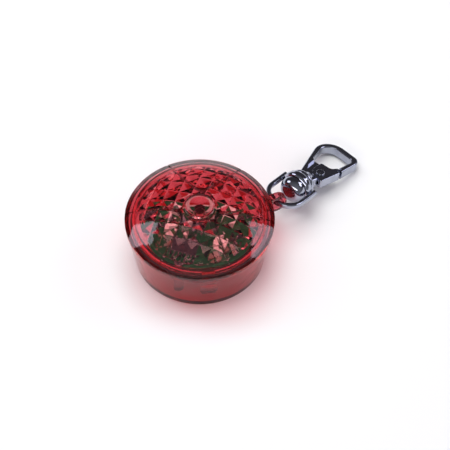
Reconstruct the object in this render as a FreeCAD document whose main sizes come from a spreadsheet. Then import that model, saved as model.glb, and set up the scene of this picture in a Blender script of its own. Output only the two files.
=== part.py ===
import FreeCAD, Part
import Sketcher
import math
import os

from FreeCAD import Placement, Rotation, Vector

# LED safety flare: a round flashing beacon in a translucent red case, on a
# chromed swivel snap hook.  The case stands on the plane Z = 0 with its axis on
# Z, and the lug that carries the hook points along +X.  Millimetres.

os.makedirs("parts", exist_ok=True)
doc = FreeCAD.newDocument("SafetyFlare")

DIMS = [
    # case
    ("rim_radius", 22.5),
    ("base_radius", 19.5),
    ("base_top", 15.7),
    ("wall", 1.5),
    ("floor", 1.6),
    ("rim_step", 0.15),
    ("edge_round", 0.6),
    ("lug_round", 0.5),
    ("lug_hole_round", 0.35),
    ("sink", 0.2),
    ("lug_reach", 25.4),
    ("lug_level", 10.6),
    ("lug_radius", 3.3),
    ("lug_width", 2.4),
    ("lug_hole", 2.0),
    ("post_circle", 14.4),
    ("post_radius", 1.5),
    ("pilot_radius", 0.85),
    ("ledge_width", 5.0),
    # lens
    ("lens_bottom", 15.85),
    ("lens_shoulder", 16.8),
    ("lens_top", 24.0),
    ("lens_skin", 1.6),
    ("skirt_outer", 19.9),
    ("skirt_inner", 18.9),
    ("skirt_bottom", 12.9),
    ("seal_level", 14.4),
    ("seal_section", 0.5),
    ("prism_zone", 17.8),
    ("prism_pitch", 3.8),
    ("prism_depth", 0.75),
    ("prism_land", 0.22),
    ("prism_turn", 45.0),
    ("crease_width", 0.55),
    ("crease_depth", 0.35),
    ("finger_width", 4.0),
    ("finger_bottom", 5.6),
    ("finger_circle", 17.6),
    ("finger_thick", 1.0),
    # push button and its switch
    ("button_radius", 4.2),
    ("button_hole", 4.4),
    ("flange_radius", 4.8),
    ("stem_radius", 1.8),
    ("stem_bottom", 16.75),
    ("flange_level", 20.7),
    ("flange_top", 21.75),
    ("button_top", 23.75),
    ("button_round", 0.3),
    # board
    ("board_bottom", 11.0),
    ("board_thick", 1.0),
    ("board_radius", 16.2),
    ("board_chord", 7.0),
    ("board_facing", 64.0),
    # cells
    ("cell_radius", 10.0),
    ("cell_height", 3.2),
    ("cell_level", 2.4),
    ("cell_gap", 0.2),
    # hook: local X runs from the lug hole to the nose, local Z is its thickness
    ("hook_yaw", 25.5),
    ("hook_pitch", 15.5),
    ("eye_outer", 6.3),
    ("eye_inner", 4.8),
    ("eye_bar", 0.75),
    ("eye_thick", 1.7),
    ("eye_end", 12.4),
    ("eye_round", 0.55),
    ("ring_start", 9.4),
    ("ring_end", 12.2),
    ("ring_radius", 4.9),
    ("ring_front_round", 1.1),
    ("ring_rear_round", 0.9),
    ("rivet_end", 6.2),
    ("rivet_radius", 4.1),
    ("rivet_dome", 2.6),
    ("rivet_gap", 0.2),
    ("shank_radius", 1.5),
    ("shank_root", 9.7),
    ("ring_bore", 1.55),
    ("collar_start", 12.45),
    ("collar_end", 14.1),
    ("collar_radius", 4.2),
    ("collar_front_round", 0.7),
    ("collar_rear_round", 0.85),
    ("neck_radius", 2.3),
    ("neck_end", 16.4),
    ("hook_thick", 3.0),
    ("hook_round", 0.5),
    ("tongue_thick", 1.2),
    ("channel_thick", 1.44),
    ("pivot_along", 19.5),
    ("pivot_across", 2.0),
    ("pivot_radius", 0.8),
    ("pivot_bore", 0.84),
    ("gate_round", 0.25),
    ("pin_head_radius", 1.35),
    ("pin_head_high", 0.35),
    ("pin_head_gap", 0.03),
    ("pin_head_round", 0.3),
]

sheet = doc.addObject("Spreadsheet::Sheet", "dims")
for row, (alias, size) in enumerate(DIMS, start=1):
    sheet.set(f"A{row}", alias)
    sheet.set(f"B{row}", str(size))
    sheet.setAlias(f"B{row}", alias)
doc.recompute()


def dim(alias):
    """One driving dimension, in millimetres or degrees."""
    return float(getattr(sheet, alias))


def value(expression):
    """The number that an expression over the sheet gives."""
    found = sheet.evalExpression(expression)
    return float(getattr(found, "Value", found))


def named(text):
    """Turn @name into a reference to the sheet's cell."""
    return str(text).replace("@", "dims.")


# ------------------------------------------------------------------ helpers


def new_body(label):
    body = doc.addObject("PartDesign::Body", label)
    body.Label = label
    return body


def plane(body, role):
    for feature in body.Origin.OriginFeatures:
        if feature.Role == role:
            return feature
    raise ValueError(role)


def outline(body, name, role, corners, offset=None):
    """A closed polygon whose corners are (x, y) expressions over the sheet."""
    sketch = body.newObject("Sketcher::SketchObject", name)
    sketch.AttachmentSupport = [(plane(body, role), "")]
    sketch.MapMode = "FlatFace"
    if offset is not None:
        sketch.setExpression("AttachmentOffset.Base.z", named(offset))
    points = [Vector(value(named(x)), value(named(y)), 0) for x, y in corners]
    count = len(points)
    for i in range(count):
        sketch.addGeometry(Part.LineSegment(points[i], points[(i + 1) % count]))
    for i in range(count):
        sketch.addConstraint(Sketcher.Constraint("Coincident", i, 2, (i + 1) % count, 1))
    for i, (x, y) in enumerate(corners):
        for kind, axis, text, size in (
            ("DistanceX", -2, x, points[i].x),
            ("DistanceY", -1, y, points[i].y),
        ):
            if abs(size) < 1e-9:
                sketch.addConstraint(Sketcher.Constraint("PointOnObject", i, 1, axis))
                continue
            index = sketch.addConstraint(Sketcher.Constraint(kind, -1, 1, i, 1, size))
            if "@" in str(text):
                sketch.setExpression(f"Constraints[{index}]", named(text))
    return sketch


def circles(body, name, role, places, offset=None):
    """Circles given as (x, y, radius) expressions over the sheet."""
    sketch = body.newObject("Sketcher::SketchObject", name)
    sketch.AttachmentSupport = [(plane(body, role), "")]
    sketch.MapMode = "FlatFace"
    if offset is not None:
        sketch.setExpression("AttachmentOffset.Base.z", named(offset))
    for i, (x, y, radius) in enumerate(places):
        centre = Vector(value(named(x)), value(named(y)), 0)
        size = value(named(radius))
        sketch.addGeometry(Part.Circle(centre, Vector(0, 0, 1), size))
        items = [("Radius", (i, size), radius)]
        for kind, axis, text, reach in (
            ("DistanceX", -2, x, centre.x),
            ("DistanceY", -1, y, centre.y),
        ):
            if abs(reach) < 1e-9:
                sketch.addConstraint(Sketcher.Constraint("PointOnObject", i, 3, axis))
            else:
                items.append((kind, (-1, 1, i, 3, reach), text))
        for kind, arguments, text in items:
            index = sketch.addConstraint(Sketcher.Constraint(kind, *arguments))
            if "@" in str(text):
                sketch.setExpression(f"Constraints[{index}]", named(text))
    return sketch


def settle(feature):
    """Recompute, and stop at once if the new feature could not be made."""
    doc.recompute()
    if "Invalid" in feature.State or "Error" in feature.State or feature.Shape.isNull():
        raise ValueError(f"{feature.Name} failed")
    return feature


def pad(body, sketch, length, midplane=False, reverse=False):
    feature = body.newObject("PartDesign::Pad", sketch.Name + "Pad")
    feature.Profile = sketch
    feature.Midplane = midplane
    feature.Reversed = reverse
    feature.setExpression("Length", named(length))
    sketch.Visibility = False
    return settle(feature)


def pocket(body, sketch, length, midplane=False, reverse=False):
    """A pocket that must take something away."""
    before = body.Shape.Volume
    feature = body.newObject("PartDesign::Pocket", sketch.Name + "Pocket")
    feature.Profile = sketch
    feature.Midplane = midplane
    feature.Reversed = reverse
    feature.setExpression("Length", named(length))
    settle(feature)
    if before - body.Shape.Volume < 1e-6:
        raise ValueError(f"{body.Label}: {sketch.Name} cuts nothing")
    return feature


def revolve(body, sketch, axis, groove=False):
    kind = "PartDesign::Groove" if groove else "PartDesign::Revolution"
    feature = body.newObject(kind, sketch.Name + ("Groove" if groove else "Turn"))
    feature.Profile = sketch
    feature.ReferenceAxis = (sketch, [axis])
    feature.Angle = 360
    return settle(feature)


def edges_where(shape, test):
    """Names of the edges whose middle point and direction pass a test."""
    names = []
    for i, edge in enumerate(shape.Edges, start=1):
        middle = edge.valueAt((edge.FirstParameter + edge.LastParameter) / 2)
        if test(edge, middle):
            names.append(f"Edge{i}")
    return names


def fillet(body, name, test, radius):
    base = body.Tip
    names = edges_where(base.Shape, test)
    if not names:
        raise ValueError(f"{body.Label}: {name} finds no edge")
    feature = body.newObject("PartDesign::Fillet", name)
    feature.Base = (base, names)
    feature.Radius = value(named(radius))
    if "@" in str(radius):
        feature.setExpression("Radius", named(radius))
    return settle(feature)


def upright(edge, x, y, tolerance=0.05):
    """Is this the straight edge along Z that stands at x, y?"""
    if len(edge.Vertexes) != 2:
        return False
    a, b = (v.Point for v in edge.Vertexes)
    level = abs(a.x - b.x) < 1e-6 and abs(a.y - b.y) < 1e-6
    return level and math.hypot(a.x - x, a.y - y) < tolerance


def solid(kind, name, **sizes):
    """A Part primitive with its sizes, and its place, as expressions."""
    item = doc.addObject(f"Part::{kind}", name)
    for key, text in sizes.items():
        target = f"Placement.Base.{key}" if key in ("x", "y", "z") else key
        item.setExpression(target, named(text))
    item.Visibility = False
    return item


def join(kind, name, shapes):
    """A fusion or common of several objects, or a cut of the first by the second."""
    item = doc.addObject(f"Part::{kind}", name)
    if kind in ("MultiFuse", "MultiCommon"):
        item.Shapes = shapes
    else:
        item.Base, item.Tool = shapes
    return settle(item)


def shaped(name, shape):
    item = doc.addObject("Part::Feature", name)
    item.Shape = shape
    return item


def polar(radius, degrees, height=0.0):
    angle = math.radians(degrees)
    return Vector(radius * math.cos(angle), radius * math.sin(angle), height)


def block(length, width, height, centre, turn=0.0):
    """A box centred on a point in plan, standing on that point's height."""
    box = Part.makeBox(length, width, height, Vector(-length / 2, -width / 2, 0))
    box.Placement = Placement(centre, Rotation(Vector(0, 0, 1), turn))
    return box


nodes = []


def keep(item, label=None):
    if label:
        item.Label = label
    nodes.append(item)
    return item


POSTS = (141.0, 219.0, 340.0)
LATCHES = (37.0, 108.0, 252.0, 323.0)


def ring_of(radius):
    """A circle of one radius at each of the board's posts."""
    centre = ("@post_circle * cos({0} deg)", "@post_circle * sin({0} deg)")
    return [(centre[0].format(a), centre[1].format(a), radius) for a in POSTS]


# --------------------------------------------------------------- case: base
# A tapered cup with a floor, the lug for the hook, three posts for the board
# and four ledges under which the lens latches.

SLOPE = "(@rim_radius - @rim_step - @base_radius) / @base_top"
base = new_body("base_cup")
profile = outline(
    base,
    "CupProfile",
    "XZ_Plane",
    [
        (0, 0),
        ("@base_radius", 0),
        ("@rim_radius - @rim_step", "@base_top"),
        ("@rim_radius - @rim_step - @wall", "@base_top"),
        (f"@base_radius - @wall + @floor * {SLOPE}", "@floor"),
        (0, "@floor"),
    ],
)
revolve(base, profile, "V_Axis")
fillet(
    base,
    "BottomRound",
    lambda e, m: abs(m.z) < 0.01 and abs(math.hypot(m.x, m.y) - dim("base_radius")) < 0.01,
    "@edge_round",
)
fin = outline(
    base,
    "LugFin",
    "XZ_Plane",
    [
        ("@base_radius + 0.3", "@lug_level - @lug_radius"),
        ("@lug_reach", "@lug_level - @lug_radius"),
        ("@lug_reach", "@lug_level + @lug_radius"),
        ("@base_radius + 1.8", "@lug_level + @lug_radius"),
    ],
)
pad(base, fin, "@lug_width", midplane=True)
tip = circles(base, "LugEnd", "XZ_Plane", [("@lug_reach", "@lug_level", "@lug_radius")])
pad(base, tip, "@lug_width", midplane=True)
hole = circles(base, "LugHole", "XZ_Plane", [("@lug_reach", "@lug_level", "@lug_hole")])
pocket(base, hole, "@lug_width + 2", midplane=True)
fillet(
    base,
    "LugRound",
    lambda e, m: m.x > dim("rim_radius")
    and abs(abs(m.y) - dim("lug_width") / 2) < 0.01
    and math.hypot(m.x - dim("lug_reach"), m.z - dim("lug_level")) > dim("lug_hole") + 0.1,
    "@lug_round",
)
fillet(
    base,
    "LugHoleRound",
    lambda e, m: abs(abs(m.y) - dim("lug_width") / 2) < 0.01
    and abs(math.hypot(m.x - dim("lug_reach"), m.z - dim("lug_level")) - dim("lug_hole")) < 0.02,
    "@lug_hole_round",
)
posts = circles(
    base,
    "BoardPosts",
    "XY_Plane",
    ring_of("@post_radius"),
    "@floor - @sink",
)
pad(base, posts, "@board_bottom - @floor + @sink")
pilots = circles(
    base,
    "PilotHoles",
    "XY_Plane",
    ring_of("@pilot_radius"),
    "@board_bottom - 6",
)
pocket(base, pilots, "8", reverse=True)

# The four ledges stand on the inside of the tapered wall.
ledge_shapes = []
for angle in LATCHES:
    lump = block(2.6, dim("ledge_width"), 1.4, polar(19.6, angle, 7.6), angle)
    ledge_shapes.append(lump)
ledges = shaped("Ledges", Part.makeCompound(ledge_shapes))
cup_solid = solid(
    "Cone",
    "CupEnvelope",
    Radius1="@base_radius - 0.4",
    Radius2="@rim_radius - 0.55",
    Height="@base_top",
)
ledges_trimmed = join("MultiCommon", "LedgesTrimmed", [ledges, cup_solid])
keep(join("MultiFuse", "BaseShell", [base, ledges_trimmed]), "base_shell")

# ---------------------------------------------------------------- case: lens
# A shallow dome on a short shoulder.  Its underside carries square prisms in
# two crossing rows, and its top three V-shaped creases.

rise = dim("lens_top") - dim("lens_shoulder")
sphere_radius = (dim("rim_radius") ** 2 + rise**2) / (2 * rise)
sphere_level = dim("lens_top") - sphere_radius
RISE = "(@lens_top - @lens_shoulder)"
BALL = f"((@rim_radius ^ 2 + {RISE} ^ 2) / (2 * {RISE}))"

outer_ball = solid("Sphere", "LensOuterBall", Radius=BALL, z=f"@lens_top - {BALL}")
inner_ball = solid("Sphere", "LensInnerBall", Radius=f"{BALL} - @lens_skin", z=f"@lens_top - {BALL}")
drum = solid("Cylinder", "LensDrum", Radius="@rim_radius", Height="12", z="@lens_bottom")
dome = join("MultiCommon", "LensDome", [outer_ball, drum])
skin = join("Cut", "LensSkin", (dome, inner_ball))

skirt_out = solid("Cylinder", "SkirtOut", Radius="@skirt_outer", Height="8", z="@skirt_bottom")
skirt_in = solid("Cylinder", "SkirtIn", Radius="@skirt_inner", Height="9", z="@skirt_bottom - 0.5")
skirt_tube = join("Cut", "SkirtTube", (skirt_out, skirt_in))
seat_out = solid("Cylinder", "SeatOut", Radius="@skirt_outer + 1", Height="1.1", z="@seal_level - 0.55")
seat_in = solid("Cylinder", "SeatIn", Radius="@skirt_outer - 0.5", Height="2", z="@seal_level - 1")
seat = join("Cut", "SealSeat", (seat_out, seat_in))
skirt_cut = join("Cut", "SkirtSeated", (skirt_tube, seat))
skirt = join("MultiCommon", "LensSkirt", [skirt_cut, outer_ball])


def ridged(radius):
    """A solid of revolution about X whose skin is a row of straight ridges.

    Its zigzag outline runs from just inside the lens's skin to the prism depth,
    so that two of them, crossed and cut away, leave square prisms with a narrow
    smooth land between them."""
    pitch = dim("prism_pitch")
    depth = dim("prism_depth")
    inside = dim("prism_land") * depth / pitch
    span = 5
    points = []
    for step in range(-2 * span, 2 * span + 1):
        x = step * pitch / 2
        level = math.sqrt(radius**2 - x**2)
        points.append(Vector(x, level - depth if step % 2 else level + inside, 0))
    points = [Vector(points[0].x, 0, 0)] + points + [Vector(points[-1].x, 0, 0)]
    face = Part.Face(Part.makePolygon(points + [points[0]]))
    return face.revolve(Vector(0, 0, 0), Vector(1, 0, 0), 360)


ridge_shape = ridged(sphere_radius - dim("lens_skin"))
zone = Part.makeCylinder(dim("prism_zone"), 12, Vector(0, 0, 13))
hub = Part.makeCylinder(dim("flange_radius") + 0.25, 12, Vector(0, 0, 13))
ball = Part.makeSphere(sphere_radius - dim("lens_skin") + 0.25, Vector(0, 0, sphere_level))
slab = zone.common(ball)
for turn in (dim("prism_turn"), dim("prism_turn") + 90):
    tool = ridge_shape.copy()
    tool.Placement = Placement(Vector(0, 0, sphere_level), Rotation(Vector(0, 0, 1), turn))
    slab = slab.cut(tool)
slab = slab.cut(hub)
prisms = shaped("LensPrisms", slab)

# Latch fingers hang inside the skirt and hook under the ledges.
finger_shapes = []
for angle in LATCHES:
    top = dim("skirt_bottom") + 2.0
    low = dim("finger_bottom")
    width = dim("finger_width")
    stalk = block(dim("finger_thick"), width, top - low, polar(dim("finger_circle"), angle, low), angle)
    barb = block(1.4, width, 1.2, polar(dim("finger_circle") + 0.25, angle, low), angle)
    root = block(2.4, width, 1.6, polar(dim("finger_circle") + 0.6, angle, dim("skirt_bottom") + 0.4), angle)
    reach = Part.makeCylinder(dim("skirt_outer") - 0.5, 20)
    finger_shapes.append(stalk.fuse([barb, root]).common(reach).removeSplitter())
fingers = shaped("LensFingers", Part.makeCompound(finger_shapes))


def crease(angle):
    """A thin hyperbolic wall that opens outwards, cut to a shallow shell of the dome."""
    half = dim("crease_width") / 2
    vertex, spread, steps, last = 6.2, 3.79, 9, 1.87
    sides = ([], [])
    for k in range(-steps, steps + 1):
        turn = last * k / steps
        point = Vector(vertex * math.cosh(turn), spread * math.sinh(turn), 13)
        along = Vector(vertex * math.sinh(turn), spread * math.cosh(turn), 0)
        normal = Vector(along.y, -along.x, 0).normalize() * half
        sides[0].append(point + normal)
        sides[1].append(point - normal)
    loop = sides[0] + sides[1][::-1]
    wall = Part.Face(Part.makePolygon(loop + [loop[0]])).extrude(Vector(0, 0, 14))
    core = Part.makeSphere(sphere_radius - dim("crease_depth"), Vector(0, 0, sphere_level))
    wall = wall.cut(core)
    wall.rotate(Vector(0, 0, 0), Vector(0, 0, 1), angle)
    return wall


bore = solid("Cylinder", "ButtonHole", Radius="@button_hole", Height="12", z="15")
creased = join("Cut", "LensBored", (skin, bore))
for angle in (60, 180, 300):
    tool = shaped(f"LensCrease{angle}", crease(float(angle)))
    creased = join("Cut", f"LensCreased{angle}", (creased, tool))
keep(join("MultiFuse", "LensCover", [creased, skirt, prisms, fingers]), "lens_cover")

keep(
    solid(
        "Torus",
        "LensSeal",
        Radius1="@skirt_outer - 0.5 + @seal_section",
        Radius2="@seal_section",
        z="@seal_level",
    ),
    "lens_seal",
)

# ------------------------------------------------------------- push button
button = new_body("push_button")
cap = outline(
    button,
    "ButtonProfile",
    "XZ_Plane",
    [
        (0, "@stem_bottom"),
        ("@stem_radius", "@stem_bottom"),
        ("@stem_radius", "@flange_level"),
        ("@flange_radius", "@flange_level"),
        ("@flange_radius", "@flange_top"),
        ("@button_radius", "@flange_top"),
        ("@button_radius", "@button_top"),
        (3.1, 23.95),
        (0, 23.5),
    ],
)
revolve(button, cap, "V_Axis")
fillet(
    button,
    "ButtonEdge",
    lambda e, m: abs(m.z - dim("button_top")) < 0.01
    and abs(math.hypot(m.x, m.y) - dim("button_radius")) < 0.01,
    "@button_round",
)
keep(button)

# ------------------------------------------------------------------- board
board = new_body("circuit_board")
plate = circles(board, "BoardPlate", "XY_Plane", [(0, 0, "@board_radius")], "@board_bottom")
pad(board, plate, "@board_thick")
drill = circles(
    board,
    "BoardHoles",
    "XY_Plane",
    ring_of("@pilot_radius + 0.1"),
    "@board_bottom - 1",
)
pocket(board, drill, "@board_thick + 2", reverse=True)


def on_facing(along, across):
    """A corner given along and across the direction that the board's straight edge faces."""
    turn = "@board_facing * 1 deg"
    x = f"({along}) * cos({turn}) - ({across}) * sin({turn})"
    y = f"({along}) * sin({turn}) + ({across}) * cos({turn})"
    return (x, y)


# The disc is cut off straight behind the switch, clear of the cells' rear.
trim = outline(
    board,
    "BoardTrim",
    "XY_Plane",
    [
        on_facing("@board_chord", "-20"),
        on_facing("@board_chord + 12", "-20"),
        on_facing("@board_chord + 12", "20"),
        on_facing("@board_chord", "20"),
    ],
    "@board_bottom - 1",
)
pocket(board, trim, "@board_thick + 2", reverse=True)
keep(board)

TOP = dim("board_bottom") + dim("board_thick")


def group(label, shapes):
    """Several identical small pieces that share one node."""
    return keep(shaped(label.title().replace("_", ""), Part.makeCompound(shapes)), label)


LAMPS = (0.0, 128.0, 160.0, 290.0)
LAMP_CIRCLE = 8.6
LAMP_SIZE = (3.5, 2.8, 1.5)
WELL_FLOOR = 0.5
packages = []
windows = []
for angle in LAMPS:
    place = polar(LAMP_CIRCLE, angle, TOP)
    shell = block(*LAMP_SIZE, place, angle)
    bottom = Vector(place.x, place.y, TOP + WELL_FLOOR)
    well = Part.makeCone(1.0, 1.25, LAMP_SIZE[2] - WELL_FLOOR, bottom)
    packages.append(shell.cut(well))
    windows.append(Part.makeCone(1.0, 1.2, 0.9, bottom))
group("led_packages", packages)
group("led_windows", windows)

# Driver chip: a wide small-outline package beside the rear post.
CHIP_SIZE = (9.0, 5.4, 1.9)
CHIP_LIFT = 0.15
CHIP_TURN = -45.0
LEADS = 7
LEAD_PITCH = 1.27
LEAD_WIDE = 0.42
LEAD_THICK = 0.2
chip_place = polar(9.2, 216.0, TOP)
chip = block(*CHIP_SIZE, chip_place.add(Vector(0, 0, CHIP_LIFT)), CHIP_TURN)
chip_top = TOP + CHIP_LIFT + CHIP_SIZE[2]
chip = chip.makeChamfer(0.35, [e for e in chip.Edges if abs(e.CenterOfMass.z - chip_top) < 0.01])
keep(shaped("DriverChip", chip), "driver_chip")
leads = []
for side in (-1, 1):
    for k in range(LEADS):
        along = (k - (LEADS - 1) / 2) * LEAD_PITCH
        corner = Vector(along - LEAD_WIDE / 2, CHIP_SIZE[1] / 2 + 0.05, 0.0)
        foot = Part.makeBox(LEAD_WIDE, 1.0, LEAD_THICK, corner)
        riser = Part.makeBox(LEAD_WIDE, LEAD_THICK, 0.9, corner)
        leg = foot.fuse(riser)
        facing = CHIP_TURN if side > 0 else CHIP_TURN + 180.0
        leg.Placement = Placement(chip_place, Rotation(Vector(0, 0, 1), facing))
        leads.append(leg)
group("chip_leads", leads)

SWITCH_WIDE = 6.0
SWITCH_HIGH = 3.4
switch_body = block(SWITCH_WIDE, SWITCH_WIDE, SWITCH_HIGH, Vector(0, 0, TOP))
switch_body = switch_body.cut(Part.makeCylinder(1.85, 1.2, Vector(0, 0, TOP + SWITCH_HIGH - 0.8)))
rim = [e for e in switch_body.Edges if abs(e.CenterOfMass.z - TOP - SWITCH_HIGH) < 0.01]
switch_body = switch_body.makeChamfer(0.3, [e for e in rim if e.Length > 5])
keep(shaped("SwitchBody", switch_body), "switch_body")
keep(
    solid("Cylinder", "SwitchPlunger", Radius="1.7", Height="1.6", z=str(TOP + SWITCH_HIGH - 0.3)),
    "switch_plunger",
)

RESISTORS = ((12.6, 160.0), (12.4, 308.0), (12.4, 318.0))
CAPACITORS = ((12.6, 262.0), (12.8, 285.0), (12.6, 178.0))
group("chip_resistors", [block(2.0, 1.25, 0.6, polar(r, a, TOP), a + 20) for r, a in RESISTORS])
group("chip_capacitors", [block(3.2, 1.6, 1.4, polar(r, a, TOP), a + 90) for r, a in CAPACITORS])

HEAD_RADIUS = 1.45
HEAD_HIGH = 0.9
CROSS = (2.0, 0.4, 0.5)
SHANK_RADIUS = 0.8
SHANK_LONG = 5.3
screws = []
for angle in POSTS:
    place = polar(dim("post_circle"), angle, TOP)
    cap = Part.makeCylinder(HEAD_RADIUS, HEAD_HIGH, place)
    cap = cap.makeFillet(0.35, [e for e in cap.Edges if abs(e.CenterOfMass.z - TOP - HEAD_HIGH) < 0.01])
    for turn in (angle, angle + 90):
        cap = cap.cut(block(*CROSS, place.add(Vector(0, 0, HEAD_HIGH - 0.4)), turn))
    shank = Part.makeCylinder(SHANK_RADIUS, SHANK_LONG + 0.1, place.add(Vector(0, 0, -SHANK_LONG)))
    screws.append(cap.fuse(shank).removeSplitter())
group("board_screws", screws)

# ------------------------------------------------------------------- cells
cells = []
for k in range(2):
    level = dim("cell_level") + k * (dim("cell_height") + dim("cell_gap"))
    can = Part.makeCylinder(dim("cell_radius"), dim("cell_height") - 0.5, Vector(0, 0, level + 0.5))
    lid = Part.makeCylinder(dim("cell_radius") - 1.1, 0.6, Vector(0, 0, level))
    rim = [e for e in can.Edges if abs(e.CenterOfMass.z - level - dim("cell_height")) < 0.01]
    can = can.makeFillet(0.35, rim)
    cells.append(can.fuse(lid).removeSplitter())
group("coin_cells", cells)

cradle = new_body("cell_cradle")
cradle_profile = outline(
    cradle,
    "CradleProfile",
    "XZ_Plane",
    [
        ("@cell_radius + 0.25", "@floor + 0.02"),
        ("@cell_radius + 1.45", "@floor + 0.02"),
        ("@cell_radius + 1.45", "@cell_level + 2 * @cell_height - 0.6"),
        ("@cell_radius + 0.25", "@cell_level + 2 * @cell_height - 0.6"),
    ],
)
revolve(cradle, cradle_profile, "V_Axis")
gate_way = outline(
    cradle,
    "CradleNotch",
    "XY_Plane",
    [("-14", "-3.5"), ("14", "-3.5"), ("14", "3.5"), ("-14", "3.5")],
    "@floor + 1.6",
)
pocket(cradle, gate_way, "9", reverse=True)
keep(cradle)

# The contacts: a dished disc under the cells, and a strap over them on two feet.
CONTACT_THICK = 0.3
STRAP_LONG = 13.0
STRAP_WIDE = 4.0
contact_seat = Vector(0, 0, dim("floor") + 0.03)
washer = Part.makeCylinder(6.0, CONTACT_THICK, contact_seat)
washer = washer.cut(Part.makeCylinder(2.4, 2 * CONTACT_THICK, Vector(0, 0, dim("floor") - 0.1)))
dish = Part.makeCone(2.6, 1.6, 0.42, contact_seat)
keep(shaped("LowerContact", washer.fuse(dish)), "lower_contact")

cell_top = dim("cell_level") + 2 * dim("cell_height") + dim("cell_gap")
strap_level = cell_top + 0.05
foot_height = dim("board_bottom") - strap_level
strap = block(STRAP_LONG, STRAP_WIDE, CONTACT_THICK, Vector(0, 0, strap_level))
foot_out = (STRAP_LONG - CONTACT_THICK) / 2
feet = []
for out in (-foot_out, foot_out):
    feet.append(block(CONTACT_THICK, STRAP_WIDE, foot_height, Vector(out, 0, strap_level)))
keep(shaped("UpperContact", strap.fuse(feet).removeSplitter()), "upper_contact")

# -------------------------------------------------------------- snap hook
# Local axes: X along the hook, Y across it (the gate is on the -Y side), Z
# through its thickness.  The lug hole's centre is the local origin.

hook_place = Placement(
    Vector(dim("lug_reach"), 0, dim("lug_level")),
    Rotation(Vector(0, 0, 1), dim("hook_yaw")).multiply(Rotation(Vector(0, 1, 0), dim("hook_pitch"))),
)

eye = new_body("eye_bow")
bow = outline(
    eye,
    "EyeOuter",
    "XY_Plane",
    [
        ("-@eye_bar", "-@eye_outer"),
        ("@eye_end", "-@eye_outer"),
        ("@eye_end", "@eye_outer"),
        ("-@eye_bar", "@eye_outer"),
    ],
)
pad(eye, bow, "@eye_thick", midplane=True)
mouth = outline(
    eye,
    "EyeInner",
    "XY_Plane",
    [
        ("@eye_bar", "-@eye_inner"),
        ("@eye_end + 2", "-@eye_inner"),
        ("@eye_end + 2", "@eye_inner"),
        ("@eye_bar", "@eye_inner"),
    ],
)
pocket(eye, mouth, "@eye_thick + 2", midplane=True)
fillet(
    eye,
    "EyeInnerBend",
    lambda e, m: upright(e, dim("eye_bar"), dim("eye_inner"))
    or upright(e, dim("eye_bar"), -dim("eye_inner")),
    "@eye_inner - 0.05",
)
fillet(
    eye,
    "EyeBend",
    lambda e, m: upright(e, -dim("eye_bar"), dim("eye_outer"))
    or upright(e, -dim("eye_bar"), -dim("eye_outer")),
    "@eye_outer - 0.05",
)
fillet(
    eye,
    "EyeBarRound",
    lambda e, m: abs(abs(m.z) - dim("eye_thick") / 2) < 0.01 and m.x < dim("eye_end") - 0.1,
    "@eye_round",
)
eye.Placement = hook_place

barrel = new_body("eye_barrel")
ring = outline(
    barrel,
    "EyeRing",
    "XY_Plane",
    [
        ("@ring_start", "@ring_bore"),
        ("@ring_start", "@ring_radius"),
        ("@ring_end", "@ring_radius"),
        ("@ring_end", "@ring_bore"),
    ],
)
revolve(barrel, ring, "H_Axis")


def on_turned_edge(level, radius):
    """A test for the circular edge at this distance along the hook, with this radius."""

    def test(edge, middle):
        away = math.hypot(middle.y, middle.z)
        return abs(middle.x - value(named(level))) < 0.01 and abs(away - value(named(radius))) < 0.01

    return test


fillet(barrel, "RingFrontRound", on_turned_edge("@ring_start", "@ring_radius"), "@ring_front_round")
fillet(barrel, "RingRearRound", on_turned_edge("@ring_end", "@ring_radius"), "@ring_rear_round")
barrel.Placement = hook_place
keep(join("MultiFuse", "SwivelEye", [eye, barrel]), "swivel_eye")

# The riveted end of the hook's shank, seen inside the eye.
rivet = new_body("swivel_rivet")
knob = outline(
    rivet,
    "RivetProfile",
    "XY_Plane",
    [
        ("@rivet_end", 0),
        ("@rivet_end", "@rivet_radius"),
        ("@ring_start - @rivet_gap", "@rivet_radius"),
        ("@ring_start - @rivet_gap", "@shank_radius"),
        ("@shank_root", "@shank_radius"),
        ("@shank_root", 0),
    ],
)
revolve(rivet, knob, "H_Axis")
fillet(rivet, "RivetDome", on_turned_edge("@rivet_end", "@rivet_radius"), "@rivet_dome")
rivet.Placement = hook_place
keep(rivet)

hook = new_body("hook_body")
HEAD = [
    # outer edge, from the neck round the crown to the nose
    (14.2, 2.5, 0.0),
    (17.2, 3.3, 0.0),
    (30.5, 7.0, 5.0),
    (34.2, 2.3, 5.8),
    (33.3, -7.3, 2.4),
    (24.9, -6.35, 0.0),
    # the nose's lapped end
    (24.9, -5.45, 0.0),
    (25.9, -5.45, 0.0),
    (25.9, -4.55, 0.0),
    # inside the crook
    (31.6, -5.5, 1.2),
    (32.3, 1.9, 3.4),
    (30.1, 4.9, 3.0),
    (23.4, 3.6, 0.9),
    # tongue under the gate
    (23.2, 0.9, 0.8),
    (21.6, -1.9, 1.4),
    (19.8, -4.1, 1.7),
    (17.6, -3.4, 0.0),
    (14.2, -2.5, 0.0),
]
head = outline(hook, "HookHead", "XY_Plane", [(x, y) for x, y, _ in HEAD])
pad(hook, head, "@hook_thick", midplane=True)
for k, (x, y, radius) in enumerate(HEAD):
    if radius > 0:
        fillet(hook, f"HeadBend{k}", lambda e, m, x=x, y=y: upright(e, x, y), str(radius))


def on_rim(edge, middle):
    """Edges of the two flat faces, outside the tongue's recess."""
    if abs(abs(middle.z) - dim("hook_thick") / 2) > 0.01:
        return False
    crook = middle.x > 24.2 or middle.y > 3.0
    nose_end = middle.x < 26.2 and middle.y < -4.0
    return crook and not nose_end and edge.Length > 0.3


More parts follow.
